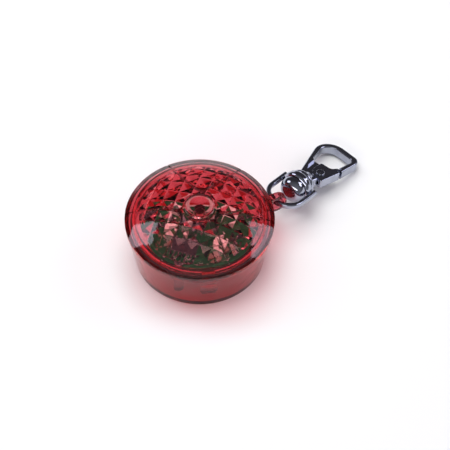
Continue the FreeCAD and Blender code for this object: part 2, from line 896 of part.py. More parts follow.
fillet(hook, "HeadRound", on_rim, "@hook_round")
RECESS = [
    (16.5, -5.5),
    (16.5, -1.2),
    (18.2, 2.3),
    (20.0, 2.9),
    (23.9, 3.0),
    (23.9, -5.5),
]
for side, turned in (("Upper", False), ("Lower", True)):
    start = "@tongue_thick / 2" if not turned else "-@tongue_thick / 2"
    recess = outline(hook, side + "Recess", "XY_Plane", RECESS, start)
    pocket(hook, recess, "3", reverse=not turned)
neck = outline(
    hook,
    "HookNeck",
    "XY_Plane",
    [
        ("@shank_root", 0),
        ("@shank_root", "@shank_radius"),
        ("@collar_start", "@shank_radius"),
        ("@collar_start", "@collar_radius"),
        ("@collar_end", "@collar_radius"),
        ("@collar_end", "@neck_radius + 0.45"),
        ("@collar_end + 1.2", "@neck_radius"),
        ("@neck_end", "@neck_radius - 0.3"),
        ("@neck_end", 0),
    ],
)
revolve(hook, neck, "H_Axis")
fillet(hook, "CollarFrontRound", on_turned_edge("@collar_start", "@collar_radius"), "@collar_front_round")
fillet(hook, "CollarRearRound", on_turned_edge("@collar_end", "@collar_radius"), "@collar_rear_round")
pivot = circles(hook, "PivotBore", "XY_Plane", [("@pivot_along", "-@pivot_across", "@pivot_bore")])
pocket(hook, pivot, "6", midplane=True)
hook.Placement = hook_place
keep(hook)

# ---------------------------------------------------------------- the gate
gate = new_body("gate")
GATE = [
    (16.6, -4.55, 0.6),
    (24.2, -6.16, 0.35),
    (24.2, -5.2, 0.0),
    (25.35, -5.2, 0.0),
    (25.15, -4.3, 0.45),
    (23.5, -3.1, 1.6),
    (23.4, 0.55, 0.7),
    (20.6, 0.9, 1.5),
    (17.2, 0.1, 2.0),
]
lever = outline(gate, "GateLever", "XY_Plane", [(x, y) for x, y, _ in GATE])
pad(gate, lever, "@hook_thick", midplane=True)
for k, (x, y, radius) in enumerate(GATE):
    if radius > 0:
        fillet(gate, f"GateBend{k}", lambda e, m, x=x, y=y: upright(e, x, y), str(radius))
fillet(
    gate,
    "GateRound",
    lambda e, m: abs(abs(m.z) - dim("hook_thick") / 2) < 0.01 and m.x < 24.2 and e.Length > 0.35,
    "@gate_round",
)
channel = outline(
    gate,
    "GateChannel",
    "XY_Plane",
    [(15.0, -3.35), (17.0, -3.72), (23.8, -5.15), (23.8, 3.0), (15.0, 3.0)],
)
pocket(gate, channel, "@channel_thick", midplane=True)
eyelet = circles(gate, "GateBore", "XY_Plane", [("@pivot_along", "-@pivot_across", "@pivot_bore")])
pocket(gate, eyelet, "6", midplane=True)
gate.Placement = hook_place
keep(gate)

pin = new_body("gate_rivet")
stem = circles(pin, "PinStem", "XY_Plane", [("@pivot_along", "-@pivot_across", "@pivot_radius")])
pad(pin, stem, "@hook_thick + 0.1", midplane=True)
for side, flip in (("Top", 1), ("Bottom", -1)):
    start = "@hook_thick / 2 + @pin_head_gap" if flip > 0 else "-@hook_thick / 2 - @pin_head_gap"
    disc = [("@pivot_along", "-@pivot_across", "@pin_head_radius")]
    cap_sketch = circles(pin, side + "Head", "XY_Plane", disc, start)
    pad(pin, cap_sketch, "@pin_head_high", reverse=flip < 0)
fillet(
    pin,
    "HeadDome",
    lambda e, m: abs(abs(m.z) - dim("hook_thick") / 2 - dim("pin_head_gap") - dim("pin_head_high")) < 0.01,
    "@pin_head_round",
)
pin.Placement = hook_place
keep(pin)

# A bent strip spring inside the gate's channel pushes the gate shut.
strip_height = 0.9
strip_thick = Vector(0.02, 0.12, 0)
strip_line = [Vector(x, y, -strip_height / 2) for x, y in ((17.4, -3.66), (19.6, -4.2), (22.6, -4.78))]
strip_points = strip_line + [point + strip_thick for point in reversed(strip_line)]
strip_face = Part.Face(Part.makePolygon(strip_points + [strip_points[0]]))
strip = strip_face.extrude(Vector(0, 0, strip_height))
spring = keep(shaped("GateSpring", strip), "gate_spring")
spring.Placement = hook_place

# ------------------------------------------------------------------ export
doc.recompute()
for item in doc.Objects:
    if "Invalid" in item.State or "Error" in item.State:
        raise ValueError(f"{item.Name} ({item.Label}) failed: {item.State}")
for item in nodes:
    shape = item.Shape
    if shape.isNull() or not shape.isValid():
        raise ValueError(f"{item.Label}: no valid shape")
    if not shape.Solids:
        raise ValueError(f"{item.Label}: no solid")
for item in nodes:
    item.Shape.exportStep(f"parts/{item.Label}.step")
    print(f"{item.Label}: {len(item.Shape.Solids)} solid(s), {item.Shape.Volume:.1f} mm3")
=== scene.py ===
"""LED safety flare: finishes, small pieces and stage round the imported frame.  Metres, +Z up."""

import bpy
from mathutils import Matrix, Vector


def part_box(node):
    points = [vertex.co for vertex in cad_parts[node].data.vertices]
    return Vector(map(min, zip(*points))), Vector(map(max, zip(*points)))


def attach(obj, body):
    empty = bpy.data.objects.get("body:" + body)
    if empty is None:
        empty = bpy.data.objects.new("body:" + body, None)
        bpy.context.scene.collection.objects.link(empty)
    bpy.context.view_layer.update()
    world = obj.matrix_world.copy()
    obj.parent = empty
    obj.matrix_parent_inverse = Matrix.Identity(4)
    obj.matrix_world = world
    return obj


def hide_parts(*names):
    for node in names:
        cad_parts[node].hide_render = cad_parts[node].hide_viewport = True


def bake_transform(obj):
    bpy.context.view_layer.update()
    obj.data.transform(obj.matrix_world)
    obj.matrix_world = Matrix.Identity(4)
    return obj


bl_info = {
    "name": "LED safety flare",
    "version": (1, 0, 0),
    "blender": (4, 5, 0),
    "location": "View3D > Sidebar > Flare",
    "description": "Finishes the safety flare: red case, board, lamps, cells and chromed snap hook",
    "category": "Object",
}

import math

import bmesh
import bpy
from bpy.props import FloatProperty, FloatVectorProperty, PointerProperty
from bpy.types import Operator, Panel, PropertyGroup
from mathutils import Matrix, Vector

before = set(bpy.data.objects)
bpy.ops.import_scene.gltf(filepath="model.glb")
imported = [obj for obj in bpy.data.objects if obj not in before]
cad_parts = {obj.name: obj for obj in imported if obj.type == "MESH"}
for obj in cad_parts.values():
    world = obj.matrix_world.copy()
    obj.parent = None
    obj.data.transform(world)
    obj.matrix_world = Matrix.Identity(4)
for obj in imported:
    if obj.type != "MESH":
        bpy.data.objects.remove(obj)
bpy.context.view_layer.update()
MM = 0.001


# ---------------------------------------------------------------- settings


def colour(name, description, default):
    """A colour setting."""
    return FloatVectorProperty(
        name=name,
        description=description,
        default=default,
        size=3,
        min=0.0,
        max=1.0,
        subtype="COLOR",
    )


def length(name, description, default):
    """A length setting, in metres."""
    return FloatProperty(
        name=name,
        description=description,
        default=default,
        min=0.0,
        subtype="DISTANCE",
        unit="LENGTH",
    )


class FlareCase(PropertyGroup):
    """Colours of the translucent mouldings."""

    lens_tint: colour("Lens tint", "What one wall of the lens lets through", (0.98, 0.50, 0.52))
    cup_tint: colour("Cup tint", "What one wall of the cup lets through", (0.68, 0.06, 0.085))
    button_tint: colour(
        "Button tint", "What the same thickness of the push button lets through", (0.93, 0.55, 0.57)
    )
    wall: length("Wall", "Thickness that the tints are given for", 1.55 * MM)
    skin_share: FloatProperty(
        name="Skin share",
        description="How much of the colour lies in the surface, and not in the depth",
        default=0.62,
        min=0.0,
        max=0.95,
        subtype="FACTOR",
    )
    flow_size: length("Flow size", "Spacing of the faint waves left by moulding", 4.0 * MM)


class FlareBoard(PropertyGroup):
    """Colours and pattern of the circuit board."""

    mask: colour("Solder mask", "Colour of the board's coating", (0.008, 0.075, 0.028))
    track: colour("Track", "Colour of the coating over copper", (0.014, 0.13, 0.05))
    track_pitch: length("Track pitch", "Spacing of the copper tracks", 1.9 * MM)
    track_width: length("Track width", "Width of a copper track", 0.45 * MM)


class FlareMetal(PropertyGroup):
    """Colours of the metal pieces."""

    chrome: colour("Chrome", "Colour of the plated hook", (0.40, 0.42, 0.50))
    nickel: colour("Nickel", "Colour of cells and contacts", (0.66, 0.65, 0.61))
    steel: colour("Steel", "Colour of screws and springs", (0.52, 0.53, 0.55))


class FlareStage(PropertyGroup):
    """Floor, lights and camera."""

    floor: colour("Floor", "Colour of the floor", (0.86, 0.86, 0.86))
    reach: length("Camera reach", "Distance from the camera to what it looks at", 3.0)
    focal: FloatProperty(
        name="Lens",
        description="Focal length in millimetres",
        default=802.0,
        min=20.0,
        unit="CAMERA",
    )
    power: FloatProperty(name="Power", description="Strength of all lights", default=0.52, min=0.0)


# ------------------------------------------------------------ shader nodes


def add(tree, kind, inputs=None, **settings):
    """A shader node.  Inputs are sockets to link from, or plain values."""
    node = tree.nodes.new("ShaderNode" + kind)
    for key, setting in settings.items():
        setattr(node, key, setting)
    for key, given in (inputs or {}).items():
        feed(tree, node.inputs[key], given)
    return node


def feed(tree, socket, given):
    """Link a socket to another one, or set it to a plain value."""
    if isinstance(given, bpy.types.NodeSocket):
        tree.links.new(given, socket)
    else:
        socket.default_value = given


def material(name):
    """An empty material, its tree and its Object coordinates."""
    made = bpy.data.materials.new(name)
    made.use_nodes = True
    tree = made.node_tree
    tree.nodes.clear()
    return made, tree, add(tree, "TexCoord").outputs["Object"]


def finish(tree, shader, inside=None):
    """Link one shader to the material's surface, and another, if there is one, to its volume."""
    output = add(tree, "OutputMaterial", {"Surface": shader})
    if inside is not None:
        tree.links.new(inside, output.inputs["Volume"])


def parts(tree, vector):
    """A vector's X, Y and Z sockets, by name."""
    return add(tree, "SeparateXYZ", {0: vector}).outputs


def stretched(tree, place, sizes, turn=(0.0, 0.0, 0.0)):
    """Object coordinates divided by a size along each axis, in metres."""
    inputs = {"Vector": place, "Scale": [1.0 / size for size in sizes], "Rotation": turn}
    return add(tree, "Mapping", inputs).outputs["Vector"]


def noise(tree, place, size, detail=3.0, rough=0.5):
    """Noise whose grains are about the given size, in metres."""
    inputs = {"Vector": place, "Scale": 1.0 / size, "Detail": detail, "Roughness": rough}
    return add(tree, "TexNoise", inputs).outputs["Fac"]


def span(tree, factor, low, high, start=0.3, end=0.7):
    """A factor's values between start and end, spread over low to high."""
    inputs = {"Value": factor, "From Min": start, "From Max": end, "To Min": low, "To Max": high}
    return add(tree, "MapRange", inputs).outputs["Result"]


def blend(tree, factor, first, second):
    """Two colours, each a socket or three plain channels, mixed by a factor."""
    node = add(tree, "Mix", {0: factor}, data_type="RGBA")
    for socket, given in ((node.inputs[6], first), (node.inputs[7], second)):
        feed(tree, socket, given if isinstance(given, bpy.types.NodeSocket) else (*given, 1.0))
    return node.outputs[2]


def mottled(tree, factor, tone, darker, lighter):
    """A colour that goes from darker to lighter by a factor, such as a noise."""
    return blend(tree, span(tree, factor, 0.0, 1.0), shaded(tone, darker), shaded(tone, lighter))


def shaded(tone, amount):
    """A colour made lighter or darker by a factor."""
    return tuple(min(1.0, channel * amount) for channel in tone)


def maths(tree, operation, first, second=0.0):
    """One step of arithmetic."""
    node = add(tree, "Math", operation=operation)
    feed(tree, node.inputs[0], first)
    feed(tree, node.inputs[1], second)
    return node.outputs[0]


def bump(tree, height, depth, normal=None):
    """A bumped normal whose height is a depth in metres."""
    inputs = {"Height": height, "Distance": depth, "Strength": 1.0}
    if normal is not None:
        inputs["Normal"] = normal
    return add(tree, "Bump", inputs).outputs["Normal"]


# --------------------------------------------------------------- materials

# translucent plastic: how far it bends light, and what a wall lets through of a light's own rays
CASE_INDEX = 1.5
LIGHT_TINT = (0.98, 0.92, 0.92, 1.0)
DEPTH_MARGIN = 1.4  # keeps every channel of the absorption colour above zero
FINE_GRAIN = 0.25 * MM
FINE_DEPTH = 0.0015 * MM
FLOW_DEPTH = 0.05 * MM

# the lens's creases, each a branch of a hyperbola: their directions in degrees, how near one comes
# to the lens's middle, how fast its arms part, and where its line fades, as shares of that nearness
CREASE_TURNS = (60, 180, 300)
CREASE_NEAR = 6.2 * MM
CREASE_SPREAD = 3.79 * MM
CREASE_FADE = (0.05, 0.09)
CREASE_LEVELS = (17.3 * MM, 17.6 * MM)  # the dome's foot, under which there are none
# painted shade along the creases: how dark their lines are painted, as a share of the skin colour,
# and the roughness added there
CREASE_SHADE_TONE = 0.03
CREASE_ROUGH = 0.25


def painted_crease_shade(tree, place):
    """Where the lens's three V-shaped creases run, as a factor: the band that is painted dark as
    shade and made rougher.
    """
    near = None
    for turn in CREASE_TURNS:
        inputs = {"Vector": place, "Angle": -math.radians(turn)}
        local = add(tree, "VectorRotate", inputs, rotation_type="Z_AXIS").outputs["Vector"]
        local = parts(tree, local)
        along = squared(tree, maths(tree, "MAXIMUM", local["X"], 0.0), CREASE_NEAR)
        across = squared(tree, maths(tree, "ABSOLUTE", local["Y"]), CREASE_SPREAD)
        inner = maths(tree, "MAXIMUM", maths(tree, "SUBTRACT", along, across), 0.0)
        away = maths(tree, "ABSOLUTE", maths(tree, "SUBTRACT", maths(tree, "SQRT", inner), 1.0))
        near = away if near is None else maths(tree, "MINIMUM", near, away)
    on_dome = span(tree, parts(tree, place)["Z"], 0.0, 1.0, *CREASE_LEVELS)
    return maths(tree, "MULTIPLY", span(tree, near, 1.0, 0.0, *CREASE_FADE), on_dome)


def squared(tree, distance, unit):
    """The square of a distance measured in a unit."""
    return maths(tree, "POWER", maths(tree, "DIVIDE", distance, unit), 2.0)


def clear_plastic(name, tint, case, rough=0.035, shine=0.5, creased=False):
    """Tinted polycarbonate: polished, with faint flow waves, darker where it is thicker, and, if
    creased, with painted shade along its creases.
    """
    made, tree, place = material(name)
    skin = [channel ** (0.5 * case.skin_share) for channel in tint]
    deep = [channel ** (1.0 - case.skin_share) for channel in tint]
    waves = noise(tree, place, case.flow_size, 2.0)
    fine = noise(tree, place, FINE_GRAIN)
    depth = noise(tree, place, 2.5 * case.flow_size, 2.0)
    tone = mottled(tree, depth, skin, 0.97, 1.02)
    polish = span(tree, fine, 0.6 * rough, 1.5 * rough)
    if creased:
        crease_shade = painted_crease_shade(tree, place)
        # painted shade: the creases' lines are darkened in the colour, standing in for the shade
        # the grooves show
        tone = blend(tree, crease_shade, tone, shaded(skin, CREASE_SHADE_TONE))
        polish = maths(tree, "ADD", polish, maths(tree, "MULTIPLY", crease_shade, CREASE_ROUGH))
    inputs = {
        "Base Color": tone,
        "Roughness": polish,
        "Normal": bump(tree, fine, FINE_DEPTH, bump(tree, waves, FLOW_DEPTH)),
        "IOR": CASE_INDEX,
        "Specular IOR Level": shine,
        "Transmission Weight": 1.0,
    }
    glass = add(tree, "BsdfPrincipled", inputs).outputs[0]
    passing = add(tree, "BsdfTransparent", {"Color": LIGHT_TINT}).outputs[0]
    lamp_ray = add(tree, "LightPath").outputs["Is Shadow Ray"]
    mixed = add(tree, "MixShader", {"Fac": lamp_ray, 1: glass, 2: passing}).outputs[0]
    density = DEPTH_MARGIN * max(-math.log(channel) for channel in deep) / case.wall
    left = [1.0 + math.log(channel) / (density * case.wall) for channel in deep]
    inside = add(tree, "VolumeAbsorption", {"Color": (*left, 1.0), "Density": density})
    finish(tree, mixed, inside.outputs[0])
    return made


def opaque(name, make):
    """A solid material.  The inputs of its one shader are made from its tree and coordinates."""
    made, tree, place = material(name)
    finish(tree, add(tree, "BsdfPrincipled", make(tree, place)).outputs[0])
    return made


def plain_plastic(name, body, rough=0.45, grain=0.12 * MM, depth=0.004 * MM, patch=0.12):
    """Opaque moulded plastic or ceramic with a fine grain and slightly uneven colour."""

    def make(tree, place):
        broad = noise(tree, place, 12.0 * grain)
        return {
            "Base Color": mottled(tree, broad, body, 1 - patch, 1 + patch),
            "Roughness": span(tree, broad, rough - 0.08, rough + 0.1),
            "Normal": bump(tree, noise(tree, place, grain, 4.0, 0.6), depth),
        }

    return opaque(name, make)


def rubber(name, body):
    """Matt black rubber with a mould's fine texture."""
    return plain_plastic(name, body, rough=0.75, grain=0.08 * MM, depth=0.01 * MM, patch=0.2)


def plated(name, body, rough=0.05, grain=0.5 * MM, depth=0.0006 * MM):
    """Bright plating: mirror-like, faintly uneven, with hair scratches."""
    hair_sizes = (2.4 * MM, 0.06 * MM, 0.06 * MM)
    hair_lean = (0.3, 0.2, 0.45)

    def make(tree, place):
        cloudy = noise(tree, place, 2.2 * MM)
        hairs = noise(tree, stretched(tree, place, hair_sizes, hair_lean), 1.0, 2.0)
        swell = noise(tree, place, grain, 2.0)
        scuffed = span(tree, hairs, 0.0, 0.05, 0.6, 0.8)
        return {
            "Base Color": mottled(tree, cloudy, body, 0.9, 1.08),
            "Metallic": 1.0,
            "Roughness": maths(tree, "ADD", scuffed, span(tree, cloudy, 0.6 * rough, 1.4 * rough)),
            "Normal": bump(tree, hairs, 0.0004 * MM, bump(tree, swell, depth)),
        }

    return opaque(name, make)


def brushed(name, body, along=(3.0, 0.05, 0.05), rough=0.3):
    """Rolled or brushed metal, grained along one axis; sizes in millimetres."""

    def make(tree, place):
        grain = noise(tree, stretched(tree, place, [size * MM for size in along]), 1.0)
        cloudy = noise(tree, place, 1.8 * MM)
        return {
            "Base Color": mottled(tree, cloudy, body, 0.82, 1.12),
            "Metallic": 1.0,
            "Roughness": span(tree, grain, rough - 0.1, rough + 0.12),
            "Normal": bump(tree, grain, 0.003 * MM),
        }

    return opaque(name, make)


def epoxy_board(name, board):
    """Solder mask over copper tracks and a glass weave."""
    track_turn = (0.0, 0.0, math.radians(24))
    area_size = 3.2 * MM
    weave_size = 0.35 * MM
    pitch = board.track_pitch

    def make(tree, place):
        rows = stretched(tree, place, (pitch * 3.0, pitch, pitch), track_turn)
        across = maths(tree, "PINGPONG", parts(tree, rows)["Y"], 0.5)
        line = maths(tree, "LESS_THAN", across, 0.5 * board.track_width / pitch)
        inputs = {"Vector": place, "Scale": 1.0 / area_size}
        areas = add(tree, "TexVoronoi", inputs, feature="F1", distance="CHEBYCHEV").outputs["Color"]
        tracked = maths(tree, "GREATER_THAN", parts(tree, areas)["X"], 0.4)
        copper = maths(tree, "MULTIPLY", line, tracked)
        weave = add(tree, "TexChecker", {"Vector": place, "Scale": 1.0 / weave_size}).outputs["Fac"]
        speck = noise(tree, place, 0.2 * MM, 2.0)
        coating = mottled(tree, speck, board.mask, 0.8, 1.25)
        height = maths(tree, "ADD", copper, maths(tree, "MULTIPLY", weave, 0.08))
        return {
            "Base Color": blend(tree, copper, coating, tuple(board.track)),
            "Roughness": span(tree, speck, 0.28, 0.42),
            "Normal": bump(tree, height, 0.02 * MM),
        }

    return opaque(name, make)


def lamp_resin(name):
    """Clear resin in a lamp's white well."""
    dull, bright = (0.72, 0.66, 0.60), (0.84, 0.80, 0.74)

    def make(tree, place):
        grains = noise(tree, place, 0.06 * MM, 3.0, 0.7)
        return {
            "Base Color": blend(tree, span(tree, grains, 0.0, 1.0), dull, bright),
            "Roughness": span(tree, grains, 0.08, 0.2),
            "Normal": bump(tree, grains, 0.001 * MM),
            "Coat Weight": 0.6,
        }

    return opaque(name, make)


def paper_floor(name, body):
    """Plain pale paper, a little uneven."""

    def make(tree, place):
        soft = noise(tree, place, 0.15, 2.0)
        return {
            "Base Color": mottled(tree, soft, body, 0.99, 1.01),
            "Roughness": span(tree, soft, 0.78, 0.86),
        }

    return opaque(name, make)


# ------------------------------------------------------------ mesh helpers

MERGE = 0.0005 * MM  # points nearer than this are one
DIMPLE_STEPS = 20
DIMPLE_SHARES = ((0.0, 0.0), (1.0, 0.0), (0.9, 0.7), (0.6, 1.0), (0.0, 1.0))


def built(name, shape, made, body="case"):
    """Turn a finished bmesh into a piece that rides a body, or rides none yet."""
    bmesh.ops.remove_doubles(shape, verts=shape.verts, dist=MERGE)
    bmesh.ops.recalc_face_normals(shape, faces=shape.faces)
    piece = placed(name, shape, made)
    if body:
        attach(piece, body)
    return piece


def placed(name, shape, made):
    """Put a bmesh into the scene as an object with its material."""
    mesh = bpy.data.meshes.new(name)
    shape.to_mesh(mesh)
    shape.free()
    mesh.materials.append(made)
    piece = bpy.data.objects.new(name, mesh)
    bpy.context.scene.collection.objects.link(piece)
    return piece


def paint(node, made):
    """Give a CAD node its material."""
    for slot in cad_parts[node].material_slots:
        slot.material = made


def tablet(shape, size, place, turn, soft):
    """A small block with softened edges, added to a bmesh.  Its place is its underside's middle."""
    stance = Matrix.Translation(place + Vector((0.0, 0.0, size[2] / 2)))
    stance = stance @ Matrix.Rotation(turn, 4, "Z") @ Matrix.Diagonal((*size, 1.0))
    made = bmesh.ops.create_cube(shape, size=1.0, matrix=stance)
    bmesh.ops.bevel(
        shape,
        geom=list({edge for vert in made["verts"] for edge in vert.link_edges}),
        offset=soft,
        affect="EDGES",
        segments=2,
        profile=0.5,
        material=-1,
        clamp_overlap=True,
    )


def spun(shape, outline, place, segments, closed=False):
    """Turn an outline in the XZ plane once round the upright axis through a place."""
    verts = [shape.verts.new(place + Vector((x, 0.0, z))) for x, z in outline]
    edges = [shape.edges.new(pair) for pair in zip(verts, verts[1:])]
    if closed:
        edges.append(shape.edges.new((verts[-1], verts[0])))
    bmesh.ops.spin(
        shape,
        geom=verts + edges,
        cent=place,
        axis=(0.0, 0.0, 1.0),
        angle=2 * math.pi,
        steps=segments,
        use_merge=True,
    )


def dimple(shape, radius, height, place):
    """A low round boss with a rounded shoulder, closed underneath."""
    outline = [(radius * out, height * up) for out, up in DIMPLE_SHARES]
    spun(shape, outline, place, DIMPLE_STEPS)


def around(radius, degrees, level):
    """A point at a radius and angle about the case's axis."""
    turn = math.radians(degrees)
    return Vector((radius * math.cos(turn), radius * math.sin(turn), level))


# ------------------------------------------------------------ small pieces

# places on the board: radii from the case's axis, and angles in degrees
LAMPS = (0.0, 128.0, 160.0, 290.0)
LAMP_CIRCLE = 8.6 * MM
CHIP_PLACE = (9.2 * MM, 216.0)
CHIP_TURN = math.radians(-45.0)
CHIP_CORNER = Vector((-3.4 * MM, -1.6 * MM, 0.0))
LEADS = 7
LEAD_PITCH = 1.27 * MM
LEAD_OUT = 3.75 * MM

# solder: sizes along, across and upwards, and the softening of edges
SOLDER_SKIM = 0.12 * MM
SOLDER_SOFT = 0.04 * MM
LEAD_TOE = 0.35 * MM
LEAD_PAD = (0.6 * MM, 0.65 * MM, SOLDER_SKIM)
LAMP_PAD = (0.7 * MM, 2.2 * MM, SOLDER_SKIM)
LAMP_PAD_OUT = 2.15 * MM

# resistors and capacitors, in millimetres: their places, their lean and their bodies
RESISTORS = ((12.6, 160.0), (12.4, 308.0), (12.4, 318.0))
RESISTOR_LEAN = 20.0
RESISTOR_SIZE = (2.0, 1.25, 0.6)
CAPACITORS = ((12.6, 262.0), (12.8, 285.0), (12.6, 178.0))
CAPACITOR_LEAN = 90.0
CAPACITOR_SIZE = (3.2, 1.6, 1.4)
CAP_LONG = 0.4
CAP_INSET = 0.16
CAP_PROUD = (0.06, 0.03)
CAP_SOFT = 0.05

# radius and height of each low round boss
DOT = (0.4 * MM, 0.02 * MM)
WELL_CUP = (0.95 * MM, 0.06 * MM)
TAB_RIVET = (0.45 * MM, 0.12 * MM)

DIE_SIZE = (0.34 * MM, 0.34 * MM, 0.1 * MM)
DIE_SOFT = 0.03 * MM
RIVET_SHARE = 0.68
LEG_SHARE = 0.6
LEG_OUT = 0.45 * MM
LEG_SIZE = (1.0 * MM, 0.7 * MM, 0.2 * MM)
LEG_SOFT = 0.05 * MM

CELLS = 2
CELL_GAP = 0.2 * MM
GASKET_STEPS = 72
GASKET = ((1.05, 0.34), (0.45, 0.34), (0.3, 0.42), (0.3, 0.49), (1.05, 0.49))  # mm inwards, mm up

# the hook's own frame, and the strip's line in it, in millimetres
HOOK_START = Vector((25.4 * MM, 0.0, 10.6 * MM))
HOOK_YAW = math.radians(25.5)
HOOK_DIP = math.radians(15.5)
HOOK_PLACE = (
    Matrix.Translation(HOOK_START)
    @ Matrix.Rotation(HOOK_YAW, 4, "Z")
    @ Matrix.Rotation(HOOK_DIP, 4, "Y")
)
STRIP_LINE = ((17.4, -3.66), (19.6, -4.2), (22.6, -4.78))
STRIP_CUTS = 7
STRIP_HIGH = 0.9
STRIP_THICK = (0.02, 0.12)


def solder_pads():
    """Wetted solder at the chip's feet and beside each lamp."""
    shape = bmesh.new()
    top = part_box("circuit_board")[1][2]
    middle = around(*CHIP_PLACE, top)
    turn = Matrix.Rotation(CHIP_TURN, 3, "Z")
    for side in (-1, 1):
        for k in range(LEADS):
            along = (k - (LEADS - 1) / 2) * LEAD_PITCH
            toe = turn @ Vector((along, side * (LEAD_OUT + LEAD_TOE), 0.0))
            tablet(shape, LEAD_PAD, middle + toe, CHIP_TURN, SOLDER_SOFT)
    for angle in LAMPS:
        for side in (-1, 1):
            spot = around(LAMP_CIRCLE + side * LAMP_PAD_OUT, angle, top)
            tablet(shape, LAMP_PAD, spot, math.radians(angle), SOLDER_SOFT)
    return shape


def end_caps():
    """Tinned ends of the small resistors and capacitors, a hair proud of their bodies."""
    shape = bmesh.new()
    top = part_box("circuit_board")[1][2]
    rows = ((RESISTORS, RESISTOR_LEAN, RESISTOR_SIZE), (CAPACITORS, CAPACITOR_LEAN, CAPACITOR_SIZE))
    for places, lean, (long, wide, high) in rows:
        size = (CAP_LONG * MM, (wide + CAP_PROUD[0]) * MM, (high + CAP_PROUD[1]) * MM)
        reach = (long / 2 - CAP_INSET) * MM
        for radius, angle in places:
            turn = angle + lean
            for end in (-1, 1):
                spot = around(radius * MM, angle, top) + around(end * reach, turn, 0.0)
                tablet(shape, size, spot, math.radians(turn), CAP_SOFT * MM)
    return shape


def chip_dot():
    """The mark that shows the chip's first foot."""
    shape = bmesh.new()
    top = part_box("driver_chip")[1][2]
    corner = Matrix.Rotation(CHIP_TURN, 3, "Z") @ CHIP_CORNER
    dimple(shape, *DOT, around(*CHIP_PLACE, top) + corner)
    return shape


def lamp_dies():
    """A square die on a round cup in each lamp's well."""
    shape = bmesh.new()
    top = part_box("led_windows")[1][2]
    for angle in LAMPS:
        spot = around(LAMP_CIRCLE, angle, top)
        dimple(shape, *WELL_CUP, spot)
        tablet(shape, DIE_SIZE, spot, math.radians(angle + 45), DIE_SOFT)
    return shape


def cover_tabs():
    """Rivets at the corners of the switch's cover, and its four soldered legs."""
    shape = bmesh.new()
    low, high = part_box("switch_body")
    half = (high[0] - low[0]) / 2
    for x in (-1, 1):
        for y in (-1, 1):
            rivet = Vector((x * RIVET_SHARE * half, y * RIVET_SHARE * half, high[2]))
            dimple(shape, *TAB_RIVET, rivet)
            leg = Vector((x * (half + LEG_OUT), y * LEG_SHARE * half, low[2]))
            tablet(shape, LEG_SIZE, leg, 0.0, LEG_SOFT)
    return shape


def cell_gaskets():
    """The dark sealing ring between each cell's can and its lid."""
    shape = bmesh.new()
    low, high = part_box("coin_cells")
    pitch = (high[2] - low[2] + CELL_GAP) / CELLS
    outline = [(high[0] - inward * MM, height * MM) for inward, height in GASKET]
    for k in range(CELLS):
        spun(shape, outline, Vector((0.0, 0.0, low[2] + k * pitch)), GASKET_STEPS, closed=True)
    return shape


def gate_strip():
    """The bent strip inside the gate's channel, divided along its length."""
    shape = bmesh.new()
    verts = [shape.verts.new((x, y, -STRIP_HIGH / 2)) for x, y in STRIP_LINE]
    edges = [shape.edges.new(pair) for pair in zip(verts, verts[1:])]
    bmesh.ops.subdivide_edges(shape, edges=edges, cuts=STRIP_CUTS)
    wide = bmesh.ops.extrude_edge_only(shape, edges=shape.edges[:])["geom"]
    bmesh.ops.translate(shape, verts=only_verts(wide), vec=(*STRIP_THICK, 0.0))
    deep = bmesh.ops.extrude_face_region(shape, geom=shape.faces[:], use_keep_orig=True)["geom"]
    bmesh.ops.translate(shape, verts=only_verts(deep), vec=(0.0, 0.0, STRIP_HIGH))
    bmesh.ops.scale(shape, vec=(MM, MM, MM), verts=shape.verts)
    bmesh.ops.transform(shape, matrix=HOOK_PLACE, verts=shape.verts)
    return shape


def only_verts(geometry):
    """The vertices among what an operator made."""
    return [item for item in geometry if isinstance(item, bmesh.types.BMVert)]


# ------------------------------------------------------------------- stage

VIEW_AZIMUTH = 64.0
VIEW_ELEVATION = 53.2
RIM_LEVEL = 16.4 * MM
AIM_RIGHT = 7.58 * MM
AIM_DOWN = 1.54 * MM

FLOOR_GAP = 0.04 * MM  # keeps the floor's face off the case's underside
FLOOR_RADIUS = 1.6
FLOOR_SIDES = 96

HORIZON = (0.55, 0.55, 0.60)
OVERHEAD = (0.06, 0.055, 0.06)
FRONT = (0.22, 0.22, 0.23)
HORIZON_END = 0.14
FRONT_HIGH = 25
FRONT_END = 0.8

LAMP_AIM = Vector((10.0 * MM, 0.0, 10.0 * MM))
LAMP_REACH = 0.9
COOL = (0.88, 0.86, 1.0)
WHITE = (1.0, 1.0, 1.0)


def floor(stage):
    """A wide round floor just under the case."""
    shape = bmesh.new()
    bmesh.ops.create_circle(shape, cap_ends=True, segments=FLOOR_SIDES, radius=FLOOR_RADIUS)
    bmesh.ops.translate(shape, vec=(0.0, 0.0, -FLOOR_GAP), verts=shape.verts)
    made = placed("floor", shape, paper_floor("pale_floor", tuple(stage.floor)))


def towards(azimuth, elevation):
    """The unit vector at an azimuth from +X and an elevation, in degrees."""
    level = math.cos(math.radians(elevation))
    return around(level, azimuth, math.sin(math.radians(elevation)))


def sky(scene):
    """A studio's surroundings: a pale horizon and front, dark behind the case and overhead."""
    world = bpy.data.worlds.new("studio")
    world.use_nodes = True
    tree = world.node_tree
    tree.nodes.clear()
    direction = add(tree, "TexCoord").outputs["Generated"]
    inputs = {0: direction, 1: towards(VIEW_AZIMUTH + 180, FRONT_HIGH)}
    facing = add(tree, "VectorMath", inputs, operation="DOT_PRODUCT").outputs["Value"]
    rising = span(tree, parts(tree, direction)["Z"], 0.0, 1.0, 0.0, HORIZON_END)
    dark = blend(tree, rising, HORIZON, OVERHEAD)
    tone = blend(tree, span(tree, facing, 0.0, 1.0, 0.0, FRONT_END), dark, FRONT)
    shine = add(tree, "Background", {"Color": tone, "Strength": 1.0})
    add(tree, "OutputWorld", {"Surface": shine.outputs[0]})
    scene.world = world


